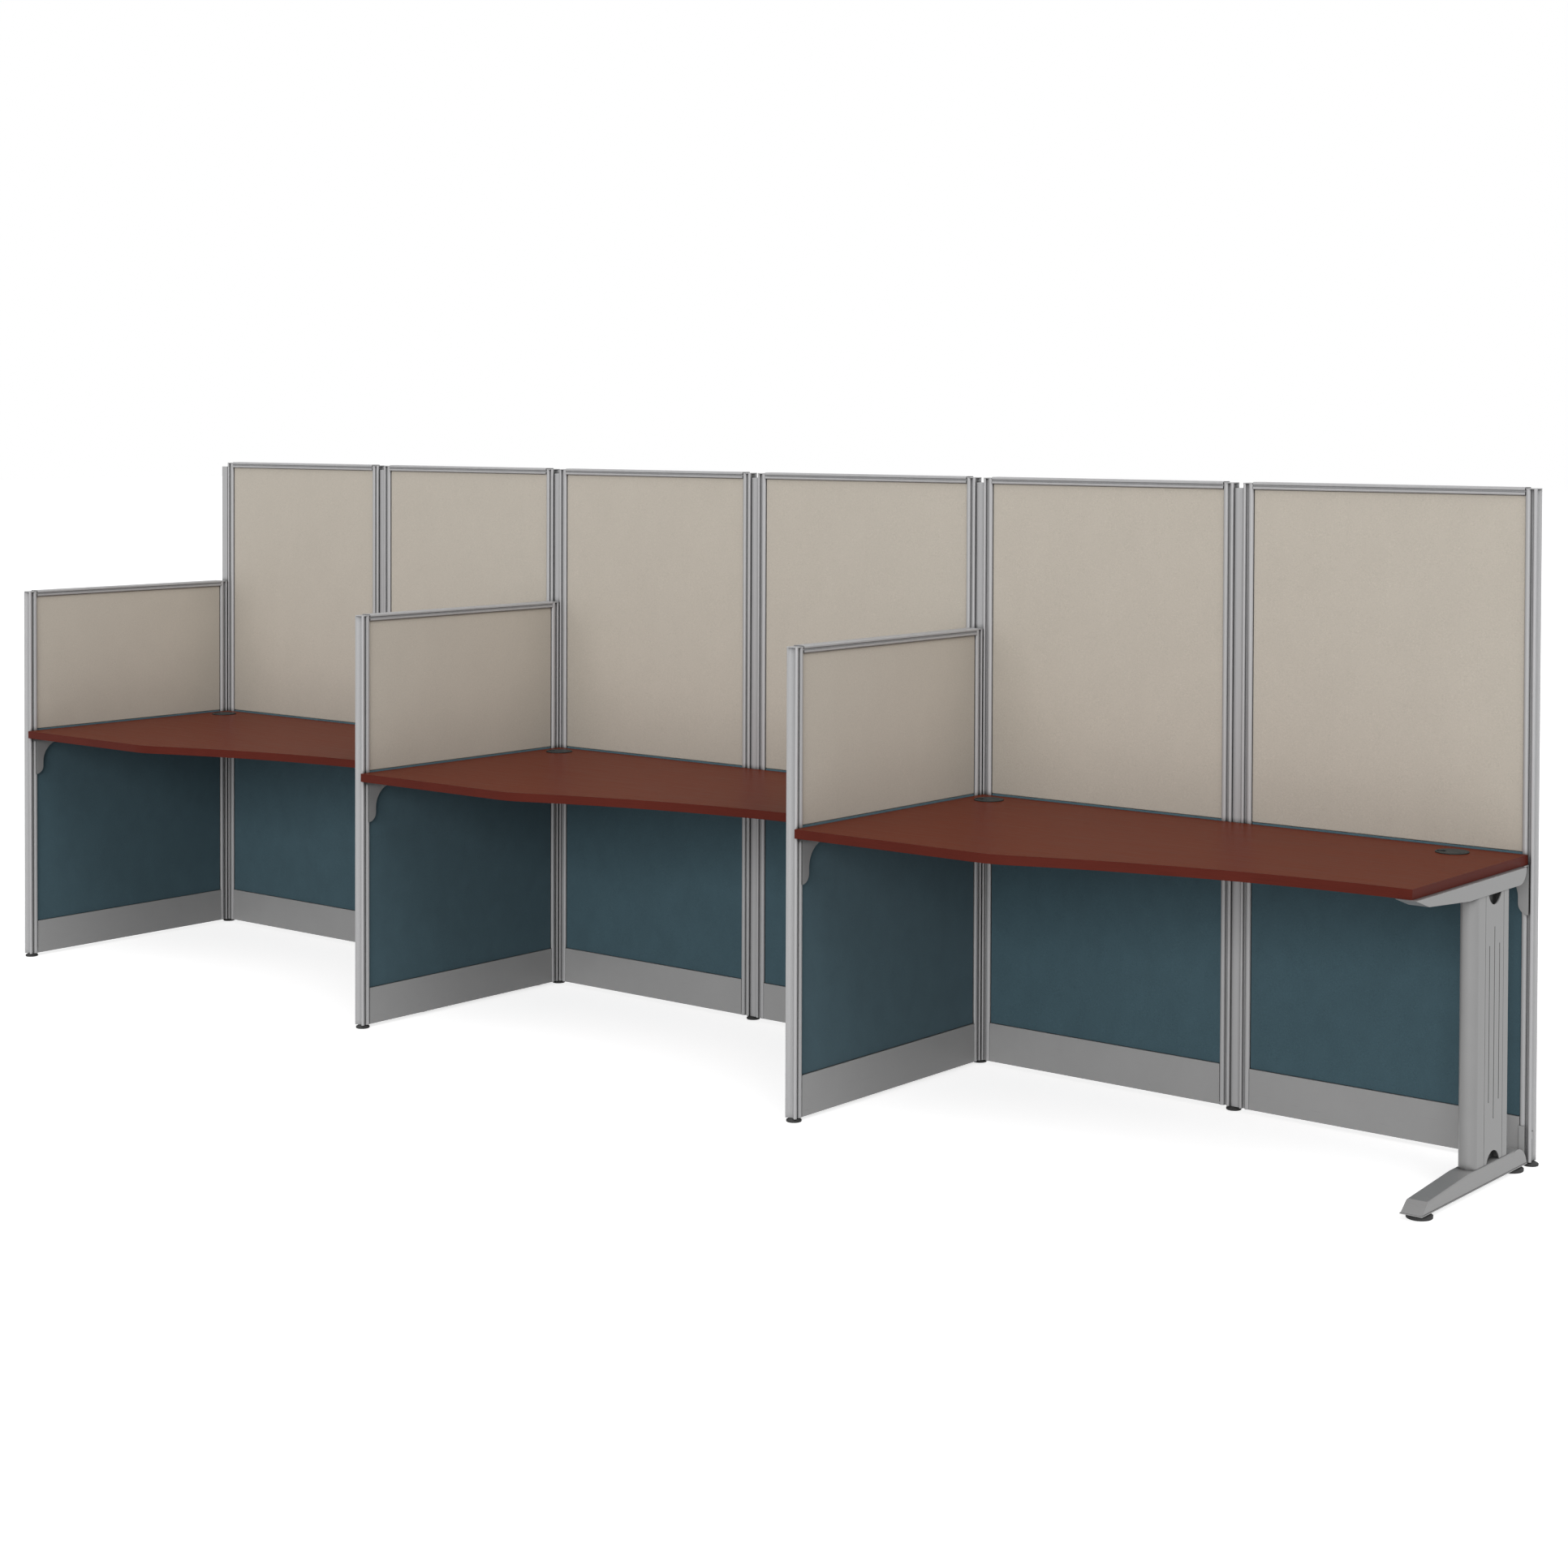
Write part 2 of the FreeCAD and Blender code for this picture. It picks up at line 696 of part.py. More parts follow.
# Side profile of the arm under the desk
def arm_profile():
    corner = arm_rear_radius
    turn = math.sqrt(0.5)
    drop = corner * (1 - turn)
    tip_low = desk_underside - arm_tip_height
    points = in_side_plane([
        (arm_rear, desk_underside), (arm_tip_front, desk_underside), (arm_tip_back, tip_low),
        (arm_taper_end, arm_underside), (arm_rear + corner, arm_underside),
        (arm_rear + drop, arm_underside + drop), (arm_rear, arm_underside + corner)])
    a, b, c, d, e, f, g = points
    return [line(a, b), line(b, c), line(c, d), line(d, e), arc(e, f, g), line(g, a)]


def rounded_long_edges(shape, radius, keep_above, keep_below):
    chosen = []
    for edge in shape.Edges:
        box = edge.BoundBox
        runs_along = box.XLength < radius / 2 and box.YLength > radius
        if runs_along and box.ZMin > keep_below and box.ZMax < keep_above:
            chosen.append(edge)
    return shape.makeFillet(radius, chosen)


def leg_arm(station):
    x = leg_centre(station) - leg_width / 2
    arm = solid_from(arm_profile(), Vector(leg_width, 0, 0))
    arm = rounded_long_edges(arm, arm_edge_radius, desk_underside - joint_clearance, 0)
    arm = shifted(arm, x, 0, 0)
    for driven in screws(station, screw_clearance):
        arm = arm.cut(driven)
    return arm


def column_section(inset, low, high):
    """The column's outline drawn inwards by an inset: round in front, rounded corners behind."""
    r = column_width / 2 - inset
    s = column_rear_radius - inset
    centre = column_width / 2 - column_front
    back = -column_rear - inset
    edges = [arc((-r, centre, 0), (0, centre - r, 0), (r, centre, 0)),
             line((s - r, back, 0), (r - s, back, 0))]
    for side in (1, -1):
        corner = round_point(r - s, back - s, s, 45)
        edges.append(line((side * r, centre, 0), (side * r, back - s, 0)))
        edges.append(arc((side * r, back - s, 0), (side * corner[0], corner[1], 0),
                         (side * (r - s), back, 0)))
    wire = Part.Wire(Part.__sortEdges__(edges))
    return shifted(Part.Face(wire).extrude(Vector(0, 0, high - low)), 0, 0, low)


# Hollow column with an open cable channel in one side, behind the cover plate
def leg_column(station):
    side = cover_side(station)
    half = column_width / 2
    floor = half - cable_channel_depth

    def side_slab(outer, inner, front, rear):
        low_x, high_x = sorted((side * outer, side * inner))
        return slab(low_x, high_x, -front, -rear, foot_top, arm_underside)

    core = column_section(column_wall, foot_top, arm_underside)
    core = core.cut(side_slab(half, floor - column_wall, cover_front, cover_rear))
    tube = column_section(0, foot_top, arm_underside).cut(core)
    recess = side_slab(half, half - cover_thickness - fit_clearance,
                       cover_front + cover_joint, cover_rear - cover_joint)
    channel = side_slab(half, floor, cover_front - cover_ledge, cover_rear + cover_ledge)
    return shifted(tube.cut(recess).cut(channel), leg_centre(station), 0, 0)


def cover_side(station):
    return 1 if station == stations - 1 else -1


# Round cable openings through the cover, at the foot and at the arm
def cable_notches(side):
    y = -(cover_front + cover_rear) / 2
    reach = column_width / 2
    start = 0 if side > 0 else -reach
    drop = cable_notch_radius - cable_notch_rise
    notches = []
    for z in (foot_top - drop, arm_underside + drop):
        notches.append(Part.makeCylinder(cable_notch_radius, reach, Vector(start, y, z), Vector(1, 0, 0)))
    return notches


def leg_cover(station):
    side = cover_side(station)
    half = column_width / 2
    low_x, high_x = sorted((side * half, side * (half - cover_thickness)))
    plate = slab(low_x, high_x, -cover_front, -cover_rear, foot_top, arm_underside)
    for notch in cable_notches(side):
        plate = plate.cut(notch)
    middle = -(cover_front + cover_rear) / 2
    for step in (-1, 0, 1):
        trim = abs(step) * cover_groove_step
        groove = Part.makeCylinder(cover_groove_radius, cover_groove_high - cover_groove_low - 2 * trim,
                                   Vector(side * half, middle + step * cover_groove_pitch,
                                          cover_groove_low + trim))
        plate = plate.cut(groove)
    return shifted(plate, leg_centre(station), 0, 0)


def leg_foot(station):
    x = leg_centre(station) - leg_width / 2
    lip_top = foot_underside + foot_lip_height
    rear_height = foot_top - foot_underside
    turn = math.sqrt(0.5)
    rear_run = foot_flat_rear - foot_rear
    a, b, c, d, e, f, g = in_side_plane([
        (foot_front, foot_underside), (foot_front - foot_lip_height, lip_top),
        (foot_front - foot_nose_run, foot_nose_height), (foot_flat_front, foot_top),
        (foot_flat_rear, foot_top),
        (foot_rear + rear_run * (1 - turn), foot_underside + rear_height * turn),
        (foot_rear, foot_underside)])
    body = solid_from([line(a, b), line(b, c), line(c, d), line(d, e), arc(e, f, g), line(g, a)],
                      Vector(leg_width, 0, 0))
    body = rounded_long_edges(body, foot_edge_radius, wall_height, lip_top)
    lip = slab(-foot_lip_reach, leg_width + foot_lip_reach, -foot_front - foot_lip_reach,
               -foot_rear - foot_lip_reach, foot_underside, lip_top - foot_lip_height / 2)
    body = shifted(body.fuse(lip).removeSplitter(), x, 0, 0)
    for reach in (leg_pad_front, leg_pad_rear):
        body = body.cut(Part.makeCylinder(stem_radius + stem_clearance, leg_stem_bore_reach,
                                          Vector(leg_centre(station), -reach, foot_underside)))
    return body


side_gussets = []
rear_gussets = []
arms = []
columns = []
covers = []
feet = []
all_screws = []
for station in range(stations):
    holes = screws(station, screw_clearance)
    bracket = side_gusset(station)
    left = wall_gusset(left_groove(station), 1)
    right = wall_gusset(right_groove(station), -1)
    for driven in holes:
        bracket = bracket.cut(driven)
        left = left.cut(driven)
        right = right.cut(driven)
    side_gussets.append(bracket)
    rear_gussets += [left, right]
    arms.append(leg_arm(station))
    columns.append(leg_column(station))
    covers.append(leg_cover(station))
    feet.append(leg_foot(station))
    all_screws += screws(station, 0)
export(grouped(side_gussets), "side_gussets")
export(grouped(rear_gussets), "rear_gussets")
export(grouped(arms), "leg_arms")
export(grouped(columns), "leg_columns")
export(grouped(covers), "leg_covers")
export(grouped(feet), "leg_feet")
export(grouped(all_screws), "desk_screws")


# Levelling foot: a round pad with a sloping crown on a threaded stem
def levelling_foot(x, y, radius, height, reach):
    rim = height * pad_rim_share
    disc = Part.makeCylinder(radius, rim, Vector(x, y, 0))
    edge = [e for e in disc.Edges if e.BoundBox.ZMax < rim / 2]
    disc = disc.makeFillet(rim * pad_edge_share, edge)
    crown = Part.makeCone(radius, radius * pad_crown_share, height - rim, Vector(x, y, rim))
    stem = Part.makeCylinder(stem_radius, reach, Vector(x, y, height))
    return disc.fuse([crown, stem]).removeSplitter()


pads = []
for station in range(stations):
    pads.append((station * station_pitch, side_pad_inset - side_depth))
for place in range(wall_count + 1):
    x = place * half_pitch
    if place % 2:
        x -= inline_pad_shift
    if place == wall_count:
        x = end_pad_x
    pads.append((x, half_thickness))
number = 0
for x, y in pads:
    number += 1
    foot = levelling_foot(x, y, pad_radius, floor_gap - pad_play, stem_reach)
    export(foot, "levelling_foot_%d" % number)
for station in range(stations):
    for reach in (leg_pad_front, leg_pad_rear):
        number += 1
        foot = levelling_foot(leg_centre(station), -reach, leg_pad_radius, foot_underside - pad_play,
                              leg_stem_reach)
        export(foot, "levelling_foot_%d" % number)
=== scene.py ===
"""Looks, light and camera for the cubicle workstation, in the frame of its CAD model, in metres."""
import json
import math

import bpy
from mathutils import Matrix, Vector


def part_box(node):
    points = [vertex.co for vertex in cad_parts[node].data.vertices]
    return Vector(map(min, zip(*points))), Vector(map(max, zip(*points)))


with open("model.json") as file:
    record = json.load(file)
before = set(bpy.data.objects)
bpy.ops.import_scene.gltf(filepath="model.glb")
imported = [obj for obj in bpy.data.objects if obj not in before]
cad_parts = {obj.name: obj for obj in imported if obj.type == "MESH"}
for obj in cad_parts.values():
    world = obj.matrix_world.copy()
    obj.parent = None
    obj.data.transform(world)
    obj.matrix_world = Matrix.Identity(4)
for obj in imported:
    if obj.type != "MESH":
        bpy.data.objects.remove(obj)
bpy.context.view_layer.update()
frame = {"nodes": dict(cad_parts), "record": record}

# ---------------------------------------------------------------- node helpers

# The range that most noise values fall in, a narrower and a wider one, and a full one
narrow = (0.34, 0.66)
middle = (0.3, 0.7)
wide = (0.25, 0.75)
full = (0.0, 1.0)


def linear(red, green, blue):
    """A colour written as 0 to 255 display values, turned into scene values by the display's curve."""
    toe_limit, toe_slope, offset, power = 0.04045, 12.92, 0.055, 2.4
    result = []
    for value in (red, green, blue):
        share = value / 255
        if share <= toe_limit:
            result.append(share / toe_slope)
        else:
            result.append(((share + offset) / (1 + offset)) ** power)
    return (*result, 1.0)


def even(count):
    """As many features in a metre along x, y and z."""
    return (count, count, count)


def around(share):
    """From as much below 1 to as much above it."""
    return (1.0 - share, 1.0 + share)


class Nodes:
    """A node tree, with short ways to add nodes and join them."""

    def __init__(self, tree):
        self.tree = tree
        tree.nodes.clear()

    def feed(self, socket, value):
        if isinstance(value, bpy.types.NodeSocket):
            self.tree.links.new(value, socket)
        else:
            socket.default_value = value

    def add(self, kind, values=(), **settings):
        node = self.tree.nodes.new(kind)
        for key, value in settings.items():
            setattr(node, key, value)
        pairs = values.items() if isinstance(values, dict) else enumerate(values)
        for key, value in pairs:
            self.feed(node.inputs[key], value)
        return node

    def calc(self, operation, *values):
        return self.add("ShaderNodeMath", values, operation=operation).outputs[0]

    def seen_rays(self):
        """1 for rays that show the background: camera, glossy and transmission rays."""
        rays = self.add("ShaderNodeLightPath").outputs
        direct = self.calc("MAXIMUM", rays["Is Camera Ray"], rays["Is Glossy Ray"])
        return self.calc("MAXIMUM", direct, rays["Is Transmission Ray"])


class Look(Nodes):
    """One procedural material: a Principled surface and the nodes that feed it."""

    # Numbers of the colour sockets of a mix node
    mix_share, mix_first, mix_second, mix_result = 0, 6, 7, 2
    painted_shade_samples = 8
    painted_shade_open = 0.92

    def __init__(self, name):
        self.material = bpy.data.materials.new(name)
        self.material.use_nodes = True
        super().__init__(self.material.node_tree)
        output = self.add("ShaderNodeOutputMaterial")
        self.surface = self.add("ShaderNodeBsdfPrincipled")
        self.feed(output.inputs["Surface"], self.surface.outputs["BSDF"])
        self.place = self.add("ShaderNodeTexCoord").outputs["Object"]
        self.x, self.y, self.z = self.add("ShaderNodeSeparateXYZ", [self.place]).outputs

    def noise(self, stretch, detail=2.0, roughness=0.5, distortion=0.0, offset=(0.0, 0.0, 0.0)):
        """Noise from 0 to 1; stretch is how many features fit in a metre along x, y and z."""
        values = [self.place, stretch, offset]
        stretched = self.add("ShaderNodeVectorMath", values, operation="MULTIPLY_ADD").outputs[0]
        values = {"Vector": stretched, "Scale": 1.0, "Detail": detail,
                  "Roughness": roughness, "Distortion": distortion}
        return self.add("ShaderNodeTexNoise", values).outputs[0]

    def spread(self, value, old, new):
        """The value, moved from its old range to the new one and kept inside it."""
        values = {"Value": value, "From Min": old[0], "From Max": old[1],
                  "To Min": new[0], "To Max": new[1]}
        return self.add("ShaderNodeMapRange", values).outputs[0]

    def blend(self, share, first, second):
        """Colour between first, at share 0, and second, at share 1."""
        values = {self.mix_share: share, self.mix_first: first, self.mix_second: second}
        return self.add("ShaderNodeMix", values, data_type="RGBA").outputs[self.mix_result]

    def shaded(self, colour, factor):
        values = {0: colour[:3] if isinstance(colour, tuple) else colour, "Scale": factor}
        return self.add("ShaderNodeVectorMath", values, operation="SCALE").outputs[0]

    def with_painted_shade(self, colour, reach, low_share, low=0.30):
        """The colour with painted shade: darker where other surfaces stand nearer than reach; low_share is
        left deep inside.
        """
        # Painted shade: ambient occlusion darkens the colour in corners, grooves and gaps, where shade falls
        node = self.add("ShaderNodeAmbientOcclusion", {"Distance": reach}, samples=self.painted_shade_samples)
        factor = self.spread(node.outputs["AO"], (low, self.painted_shade_open), (low_share, 1.0))
        return self.shaded(colour, factor)

    def bump(self, height, strength, distance):
        values = {"Strength": strength, "Distance": distance, "Height": height}
        self.feed(self.surface.inputs["Normal"], self.add("ShaderNodeBump", values).outputs[0])

    def finish(self, colour, roughness, **constants):
        self.feed(self.surface.inputs["Base Color"], colour)
        self.feed(self.surface.inputs["Roughness"], roughness)
        for key, value in constants.items():
            self.surface.inputs[key.replace("_", " ")].default_value = value
        return self.material


# ---------------------------------------------------------------- materials


def cloth(name, thread, gap, cloud, cloud_count, speckle, slub, corner_shade_share=None):
    """Plain-woven panel cloth with uneven threads, scattered slubs, soft clouds and fine speckle.

    cloud, speckle and slub are shares of the colour's strength; the last argument is what painted
    shade leaves of it deep in the corners by the desks."""
    pitch = 0.0014
    sway_share = 0.35
    crossing_share = 0.45
    fibre_share = 0.35
    slub_height = 2.5
    corner_shade_reach = 0.30
    look = Look(name)

    # Two sets of crossing threads, the upper one changing from square to square
    along = look.calc("ADD", look.x, look.y)
    sway_noise = look.noise(even(140), detail=1.0)
    sway = look.spread(sway_noise, full, (-sway_share * pitch, sway_share * pitch))
    turn = math.pi / pitch
    warp_wave = look.calc("SINE", look.calc("MULTIPLY", look.calc("ADD", along, sway), turn))
    weft_wave = look.calc("SINE", look.calc("MULTIPLY", look.calc("SUBTRACT", look.z, sway), turn))
    over = look.calc("GREATER_THAN", look.calc("MULTIPLY", warp_wave, weft_wave), 0.0)
    warp = look.calc("ABSOLUTE", warp_wave)
    weft = look.calc("ABSOLUTE", weft_wave)
    under_weft = look.calc("MULTIPLY_ADD", weft, crossing_share, 1.0 - crossing_share)
    under_warp = look.calc("MULTIPLY_ADD", warp, crossing_share, 1.0 - crossing_share)
    warp_top = look.calc("MULTIPLY", warp, under_weft)
    weft_top = look.calc("MULTIPLY", weft, under_warp)
    difference = look.calc("SUBTRACT", warp_top, weft_top)
    weave = look.calc("MULTIPLY_ADD", difference, over, weft_top)
    fibres = look.noise(even(2600), roughness=0.6)
    height = look.calc("MULTIPLY_ADD", fibres, fibre_share, weave)
    colour = look.blend(look.spread(height, (0.1, 1.1), full), gap, thread)

    # Thick and thin places in the threads, gathered here and there
    slubs = look.noise(even(330), detail=2.5, roughness=0.65)
    gathered = look.spread(look.noise(even(26), roughness=0.6), (0.35, 0.62), (0.25, 1.0))
    thick = look.calc("MULTIPLY", look.spread(slubs, (0.54, 0.70), full), gathered)
    thin = look.calc("MULTIPLY", look.spread(slubs, (0.46, 0.30), full), gathered)
    uneven = look.calc("SUBTRACT", thick, thin)
    colour = look.shaded(colour, look.calc("MULTIPLY_ADD", uneven, slub, 1.0))
    height = look.calc("MULTIPLY_ADD", uneven, slub_height, height)

    grains = look.noise(even(300), detail=3.0, roughness=0.7)
    colour = look.shaded(colour, look.spread(grains, middle, around(speckle)))
    cloud_stretch = (cloud_count, cloud_count, cloud_count * 0.7)
    clouds = look.noise(cloud_stretch, detail=3.0, roughness=0.55, distortion=0.4)
    colour = look.shaded(colour, look.spread(clouds, middle, around(cloud)))
    # Painted shade: the cloth is darker towards the corners by the desks
    if corner_shade_share is not None:
        colour = look.with_painted_shade(colour, corner_shade_reach, corner_shade_share)
    look.bump(height, strength=0.14, distance=0.0006)
    roughness = look.spread(grains, middle, (0.86, 0.97))
    return look.finish(colour, roughness, Sheen_Weight=0.12, Sheen_Roughness=0.5, Specular_IOR_Level=0.2)


def wood(name, dark, mid, light):
    """Red-brown wood-grain laminate: fine streaks and short pores along x in broader bands."""
    look = Look(name)
    bands = look.noise((0.9, 24, 24), detail=3.0, roughness=0.55, distortion=0.7)
    streaks = look.noise((5, 330, 330), detail=4.0, roughness=0.6, distortion=0.2, offset=(3.1, 7.7, 1.9))
    pores = look.noise((22, 620, 620), offset=(11.3, 2.4, 5.8))
    colour = look.blend(look.spread(streaks, narrow, full), dark, light)
    colour = look.blend(look.spread(bands, middle, wide), colour, mid)
    pore_shade = look.spread(pores, (0.28, 0.42), (0.72, 1.0))
    colour = look.shaded(colour, pore_shade)
    look.bump(look.calc("ADD", streaks, pore_shade), strength=0.06, distance=0.0004)
    return look.finish(colour, look.spread(streaks, middle, (0.30, 0.40)), Specular_IOR_Level=0.02)


def edge_band(name, dark, light):
    """Plastic edge band with a faint grain and slight clouds in its colour."""
    cloud_share = 0.4
    look = Look(name)
    grain = look.noise((14, 14, 700), detail=3.0, roughness=0.6)
    clouds = look.noise(even(9))
    grain_part = look.calc("MULTIPLY", grain, 1.0 - cloud_share)
    share = look.calc("MULTIPLY_ADD", clouds, cloud_share, grain_part)
    colour = look.blend(look.spread(share, middle, full), dark, light)
    look.bump(grain, strength=0.05, distance=0.0003)
    return look.finish(colour, look.spread(grain, middle, (0.38, 0.50)), Specular_IOR_Level=0.04)


def aluminium(name, shade, metal, groove_shade_share=1.0, rail_low=None, rail_axis=0):
    """Satin metal with painted shade in its grooves. Drawing lines follow the uprights and, above rail_low,
    the rail.
    """
    line_count, along_count = 1500, 2.2
    dark_share, light_share = 0.90, 1.08
    soft_share = 0.35
    groove_shade_reach = 0.016
    look = Look(name)
    lines = look.noise((line_count, line_count, along_count), detail=3.0, roughness=0.65)
    soft = look.noise((60, 60, 0.8))
    if rail_low is not None:
        stretch = [line_count, line_count, line_count]
        stretch[rail_axis] = along_count
        on_rail = look.calc("GREATER_THAN", look.z, rail_low)
        rail_lines = look.noise(tuple(stretch), detail=3.0, roughness=0.65)
        change = look.calc("SUBTRACT", rail_lines, lines)
        lines = look.calc("MULTIPLY_ADD", change, on_rail, lines)
    line_part = look.calc("MULTIPLY", lines, 1.0 - soft_share)
    mix = look.calc("MULTIPLY_ADD", soft, soft_share, line_part)
    darker = tuple(value * dark_share for value in shade[:3]) + (1.0,)
    lighter = tuple(value * light_share for value in shade[:3]) + (1.0,)
    colour = look.blend(look.spread(mix, middle, full), darker, lighter)
    # Painted shade: darker in the grooves and next to parts that stand close
    colour = look.with_painted_shade(colour, groove_shade_reach, groove_shade_share)
    look.bump(lines, strength=0.05, distance=0.0002)
    roughness = look.spread(mix, middle, (0.34, 0.46))
    return look.finish(colour, roughness, Metallic=metal, Specular_IOR_Level=0.35)


def coated(name, colour, roughness_range, contact_shade_reach):
    """Powder-coated sheet or casting: orange-peel bump, faint clouds, painted shade in joints and next to
    close parts, scuffs near the floor.
    """
    scuff_height, scuff_share = 0.11, 0.14
    contact_shade_share, contact_shade_low = 0.22, 0.50
    look = Look(name)
    peel = look.noise(even(750))
    clouds = look.noise(even(7), detail=3.0, roughness=0.6)
    fine = look.noise(even(1900), detail=1.0)
    factor = look.spread(clouds, middle, around(0.03))
    factor = look.calc("MULTIPLY", factor, look.spread(fine, wide, around(0.035)))
    scratches = look.noise((18, 18, 260), detail=4.0, roughness=0.7, distortion=0.5)
    near_floor = look.spread(look.z, (0.0, scuff_height), (1.0, 0.0))
    scuff = look.calc("MULTIPLY", look.spread(scratches, (0.60, 0.72), (0.0, scuff_share)), near_floor)
    factor = look.calc("SUBTRACT", factor, scuff)
    look.bump(peel, strength=0.08, distance=0.0004)
    roughness = look.spread(clouds, middle, roughness_range)
    # Painted shade: darker in the joints and next to close parts, such as under the desk's edge
    colour = look.with_painted_shade(look.shaded(colour, factor), contact_shade_reach, contact_shade_share, contact_shade_low)
    return look.finish(colour, roughness, Specular_IOR_Level=0.5)


def moulded(name, colour, roughness, hollow_shade_reach, hollow_shade_share):
    """Dark moulded plastic with a fine texture and painted shade in its hollows."""
    roughness_play = 0.06
    look = Look(name)
    grain = look.noise(even(1300), roughness=0.6)
    clouds = look.noise(even(35))
    factor = look.spread(grain, wide, around(0.12))
    factor = look.calc("MULTIPLY", factor, look.spread(clouds, middle, around(0.07)))
    look.bump(grain, strength=0.25, distance=0.0003)
    rough = look.spread(clouds, middle, (roughness - roughness_play, roughness + roughness_play))
    # Painted shade: darker in the hollows
    colour = look.with_painted_shade(look.shaded(colour, factor), hollow_shade_reach, hollow_shade_share)
    return look.finish(colour, rough, Specular_IOR_Level=0.12)


top_rail_reach = 0.0192
wall_rail_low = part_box("wall_frame_1")[1].z - top_rail_reach
side_rail_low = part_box("side_frame_1")[1].z - top_rail_reach
frame_shade = (0.405, 0.405, 0.41, 1.0)
frame_metal = 0.10
# Share of the frames' colour that painted shade leaves deep in their grooves
frame_groove_shade_share = 0.05
zinc_shade = (0.55, 0.55, 0.53, 1.0)
looks = {
    "frame_aluminium": aluminium("satin_aluminium", frame_shade, frame_metal, frame_groove_shade_share),
    "screen_beige": cloth("oatmeal_cloth", linear(188, 181, 170), linear(180, 173, 161),
                          cloud=0.014, cloud_count=11, speckle=0.04, slub=0.10, corner_shade_share=0.72),
    "screen_teal": cloth("teal_cloth", linear(70, 95, 105), linear(58, 79, 87),
                         cloud=0.05, cloud_count=17, speckle=0.05, slub=0.14),
    "kick_grey": coated("kick_plate_paint", linear(151, 151, 151), (0.42, 0.50), contact_shade_reach=0.006),
    "desk_wood": wood("cherry_laminate", linear(85, 32, 17), linear(100, 43, 23), linear(111, 50, 28)),
    "desk_edge": edge_band("red_edge_band", linear(77, 31, 24), linear(88, 37, 29)),
    "grommet_black": moulded("grommet_plastic", linear(51, 55, 55), 0.5,
                             hollow_shade_reach=0.03, hollow_shade_share=0.05),
    "leg_grey": coated("leg_powder_coat", linear(136, 136, 136), (0.30, 0.37), contact_shade_reach=0.020),
    "foot_black": moulded("levelling_foot_rubber", linear(66, 66, 66), 0.6,
                          hollow_shade_reach=0.006, hollow_shade_share=0.4),
    "screw_steel": aluminium("zinc_steel", zinc_shade, 1.0),
}
wall_frame_look = aluminium("wall_frame_aluminium", frame_shade, frame_metal, frame_groove_shade_share,
                            wall_rail_low, 0)
side_frame_look = aluminium("side_frame_aluminium", frame_shade, frame_metal, frame_groove_shade_share,
                            side_rail_low, 1)

for part in frame["record"]["subparts"]:
    node = part["node"]
    material = looks[part["material_slot"]]
    if node.startswith("wall_frame"):
        material = wall_frame_look
    if node.startswith("side_frame"):
        material = side_frame_look
    frame["nodes"][node].material_slots[0].material = material

# ---------------------------------------------------------------- floor, background and light

floor_half = 60.0
floor_shade = 0.60
floor_lift = 0.74
ambient_level = 0.46
ambient_side = (0.62, -0.55, 0.56)
ambient_lean = 0.7
lamp_target = (0.0, 0.0, 0.7)
key_place, key_size, key_power = (17.0, -42.0, 13.0), (24.0, 16.0), 9800.0
fill_place, fill_size, fill_power = (36.0, -16.0, 46.0), (30.0, 30.0), 8200.0


def stage_floor(half, shade, lift):
    """Pale floor that keeps the object's shadow and is lifted to white where it is seen."""
    mesh = bpy.data.meshes.new("floor")
    corners = [(-half, -half, 0), (half, -half, 0), (half, half, 0), (-half, half, 0)]
    mesh.from_pydata(corners, [], [(0, 1, 2, 3)])
    floor = bpy.data.objects.new("floor", mesh)
    bpy.context.scene.collection.objects.link(floor)
    material = bpy.data.materials.new("pale_floor")
    material.use_nodes = True
    nodes = Nodes(material.node_tree)
    output = nodes.add("ShaderNodeOutputMaterial")
    plain = nodes.add("ShaderNodeBsdfDiffuse", {"Color": (shade, shade, shade, 1.0)})
    glow = nodes.add("ShaderNodeEmission", {"Strength": nodes.calc("MULTIPLY", nodes.seen_rays(), lift)})
    both = nodes.add("ShaderNodeAddShader", [plain.outputs[0], glow.outputs[0]])
    nodes.feed(output.inputs["Surface"], both.outputs[0])
    mesh.materials.append(material)


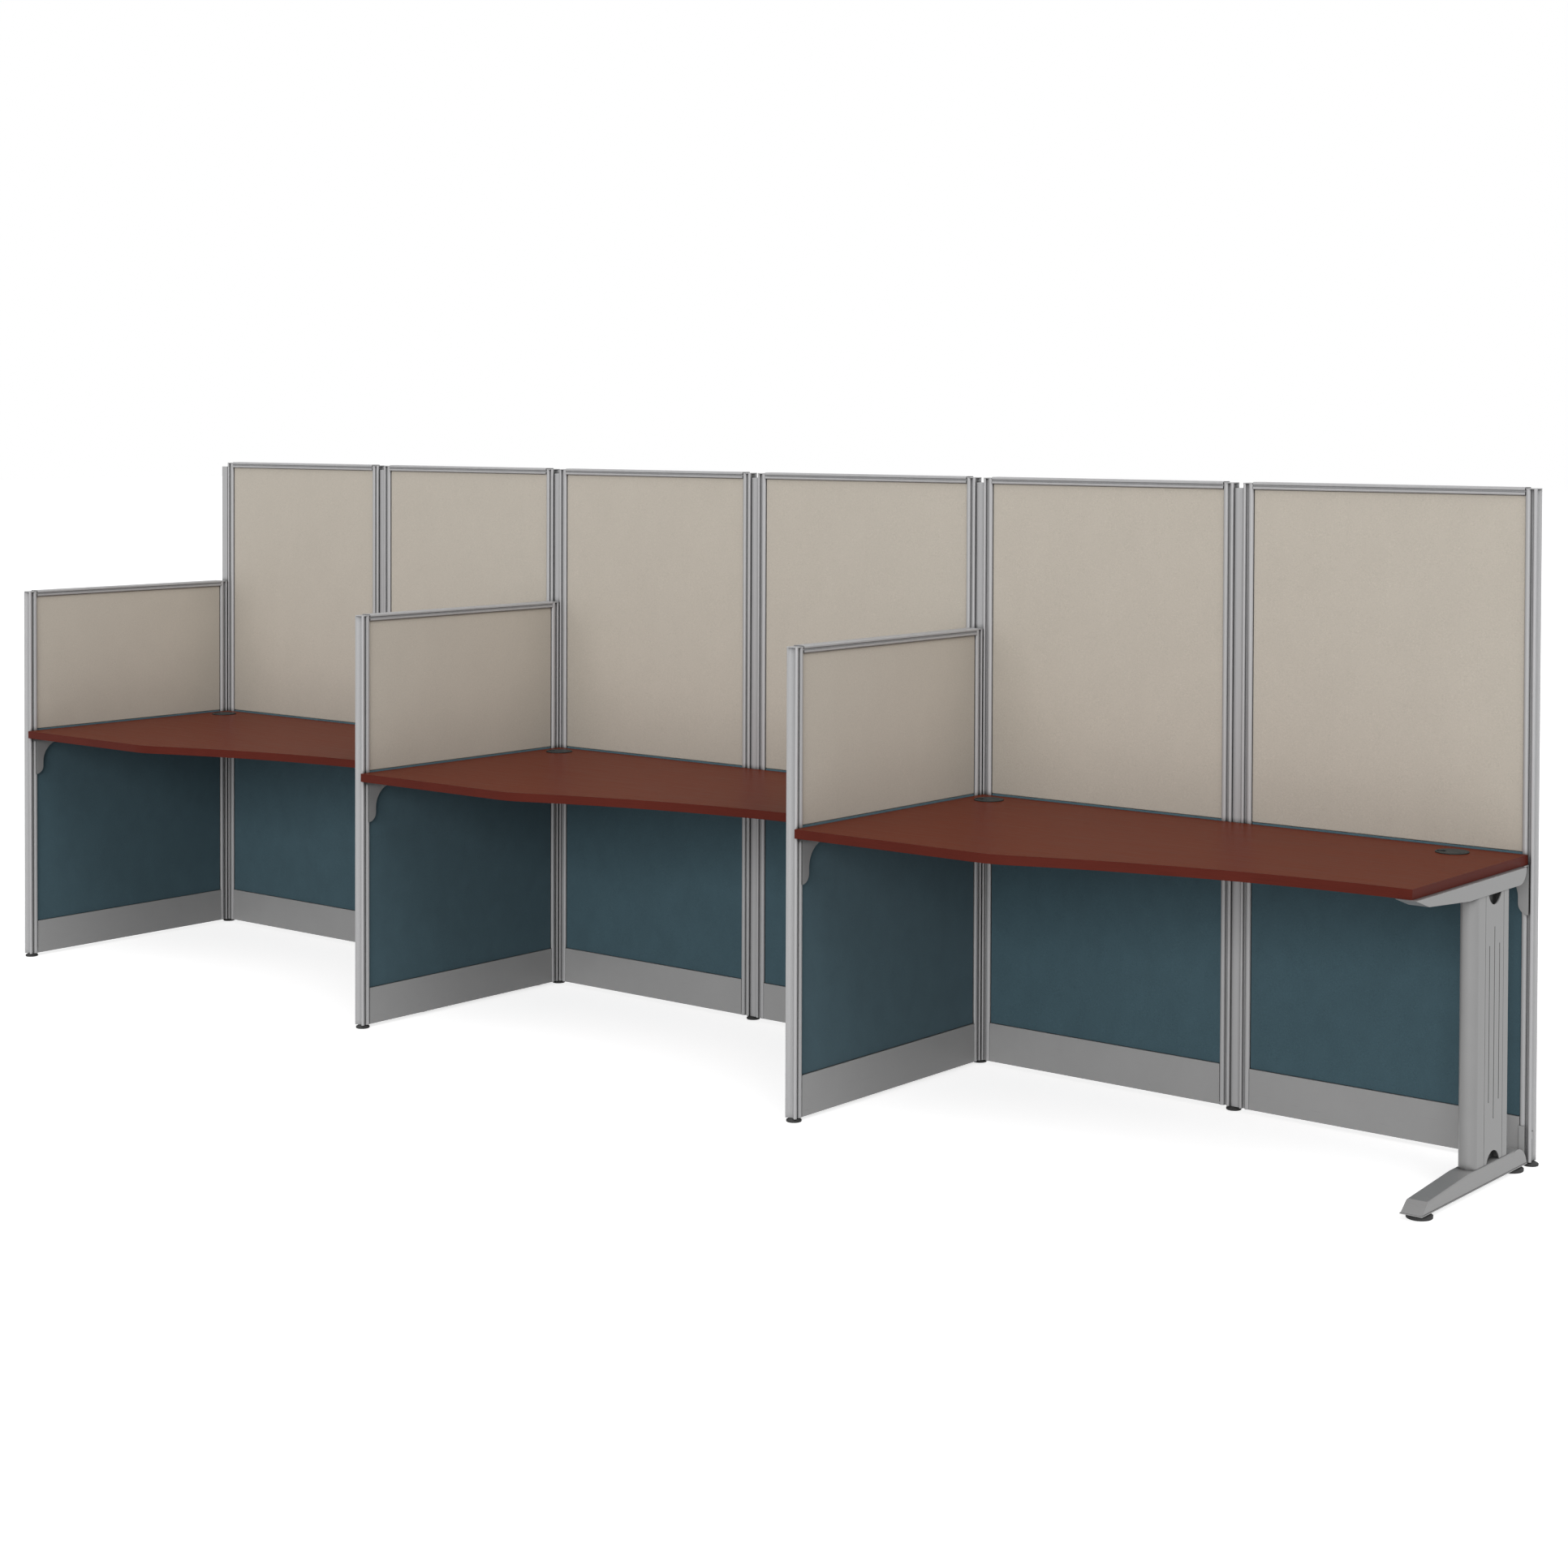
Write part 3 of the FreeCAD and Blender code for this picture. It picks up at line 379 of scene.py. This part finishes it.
def studio_world(level, side, lean):
    """White where it is seen; its light is stronger from one side, by a share of its mean level."""
    world = bpy.data.worlds.new("studio")
    bpy.context.scene.world = world
    world.use_nodes = True
    nodes = Nodes(world.node_tree)
    output = nodes.add("ShaderNodeOutputWorld")
    place = nodes.add("ShaderNodeTexCoord").outputs["Generated"]
    toward = nodes.add("ShaderNodeVectorMath", [place, side], operation="DOT_PRODUCT").outputs["Value"]
    unseen = nodes.calc("MULTIPLY_ADD", toward, level * lean, level)
    values = {"Value": nodes.seen_rays(), "To Min": unseen, "To Max": 1.0}
    strength = nodes.add("ShaderNodeMapRange", values).outputs[0]
    background = nodes.add("ShaderNodeBackground", {"Color": (1.0, 1.0, 1.0, 1.0), "Strength": strength})
    nodes.feed(output.inputs["Surface"], background.outputs[0])


def softbox(name, place, target, size, power):
    data = bpy.data.lights.new(name, "AREA")
    data.shape = "RECTANGLE"
    data.size, data.size_y = size
    data.energy = power
    lamp = bpy.data.objects.new(name, data)
    bpy.context.scene.collection.objects.link(lamp)
    lamp.location = place
    direction = Vector(target) - Vector(place)
    lamp.rotation_euler = direction.to_track_quat("-Z", "Y").to_euler()


stage_floor(floor_half, floor_shade, floor_lift)
studio_world(ambient_level, ambient_side, ambient_lean)
softbox("key", key_place, lamp_target, key_size, key_power)
softbox("fill", fill_place, lamp_target, fill_size, fill_power)

# ---------------------------------------------------------------- camera

# Solved from the photo's straight edges; focal length and centre are in the photo's pixels
photo_width = 1932
camera_place = (4.97091, -5.48811, 1.74717)
camera_yaw = 0.67363
camera_pitch = 0.02120
camera_roll = 0.00390
focal_pixels = 3259.78
centre_x = 1020.0
centre_y = 588.90
sensor_width = 36.0

camera_data = bpy.data.cameras.new("camera")
camera_data.sensor_width = sensor_width
camera_data.lens = focal_pixels / photo_width * sensor_width
camera_data.shift_x = (photo_width / 2 - centre_x) / photo_width
camera_data.shift_y = (centre_y - photo_width / 2) / photo_width
camera = bpy.data.objects.new("camera", camera_data)
bpy.context.scene.collection.objects.link(camera)
turn = Matrix.Rotation(camera_yaw, 4, "Z") @ Matrix.Rotation(math.pi / 2 - camera_pitch, 4, "X")
turn = turn @ Matrix.Rotation(camera_roll, 4, "Z")
camera.matrix_world = Matrix.Translation(camera_place) @ turn
bpy.context.scene.camera = camera
bpy.context.scene.view_settings.view_transform = "Standard"
